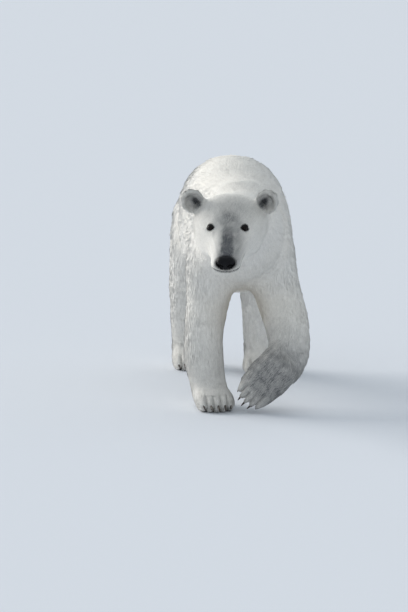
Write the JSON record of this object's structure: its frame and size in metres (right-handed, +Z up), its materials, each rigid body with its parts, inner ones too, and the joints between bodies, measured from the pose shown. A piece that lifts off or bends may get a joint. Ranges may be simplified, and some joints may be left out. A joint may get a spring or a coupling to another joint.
{
  "type": "polar bear",
  "caption": "Life-size still model of a young polar bear walking, with its left forepaw lifted and its head low.",
  "frame": {"origin": "middle of the outline seen from above, on the floor the three soles stand on", "axes": "+Z up; the bear looks along -Y, so its left side is +X"},
  "size_m": [0.481, 1.5594, 0.8284],
  "materials": {
    "coat": "dense cream-white fur over dark skin",
    "nose": "pebbled damp black",
    "eyes": "wet dark brown",
    "claws": "dark horn, worn"
  },
  "bodies": {
    "root": {"trunk": "coat", "neck": "coat", "tail": "coat", "head": "coat", "lower_jaw": "coat", "nose": "nose", "eye_right": "eyes", "ear_right": "coat", "eye_left": "eyes", "ear_left": "coat", "upper_arm_right": "coat", "forearm_right": "coat", "forepaw_right": "coat", "claw_fore_right_1": "claws", "claw_fore_right_2": "claws", "claw_fore_right_3": "claws", "claw_fore_right_4": "claws", "claw_fore_right_5": "claws", "upper_arm_left": "coat", "forearm_left": "coat", "forepaw_left": "coat", "claw_fore_left_1": "claws", "claw_fore_left_2": "claws", "claw_fore_left_3": "claws", "claw_fore_left_4": "claws", "claw_fore_left_5": "claws", "thigh_right": "coat", "shank_right": "coat", "hind_paw_right": "coat", "claw_hind_right_1": "claws", "claw_hind_right_2": "claws", "claw_hind_right_3": "claws", "claw_hind_right_4": "claws", "claw_hind_right_5": "claws", "thigh_left": "coat", "shank_left": "coat", "hind_paw_left": "coat", "claw_hind_left_1": "claws", "claw_hind_left_2": "claws", "claw_hind_left_3": "claws", "claw_hind_left_4": "claws", "claw_hind_left_5": "claws"}
  },
  "joints": []
}
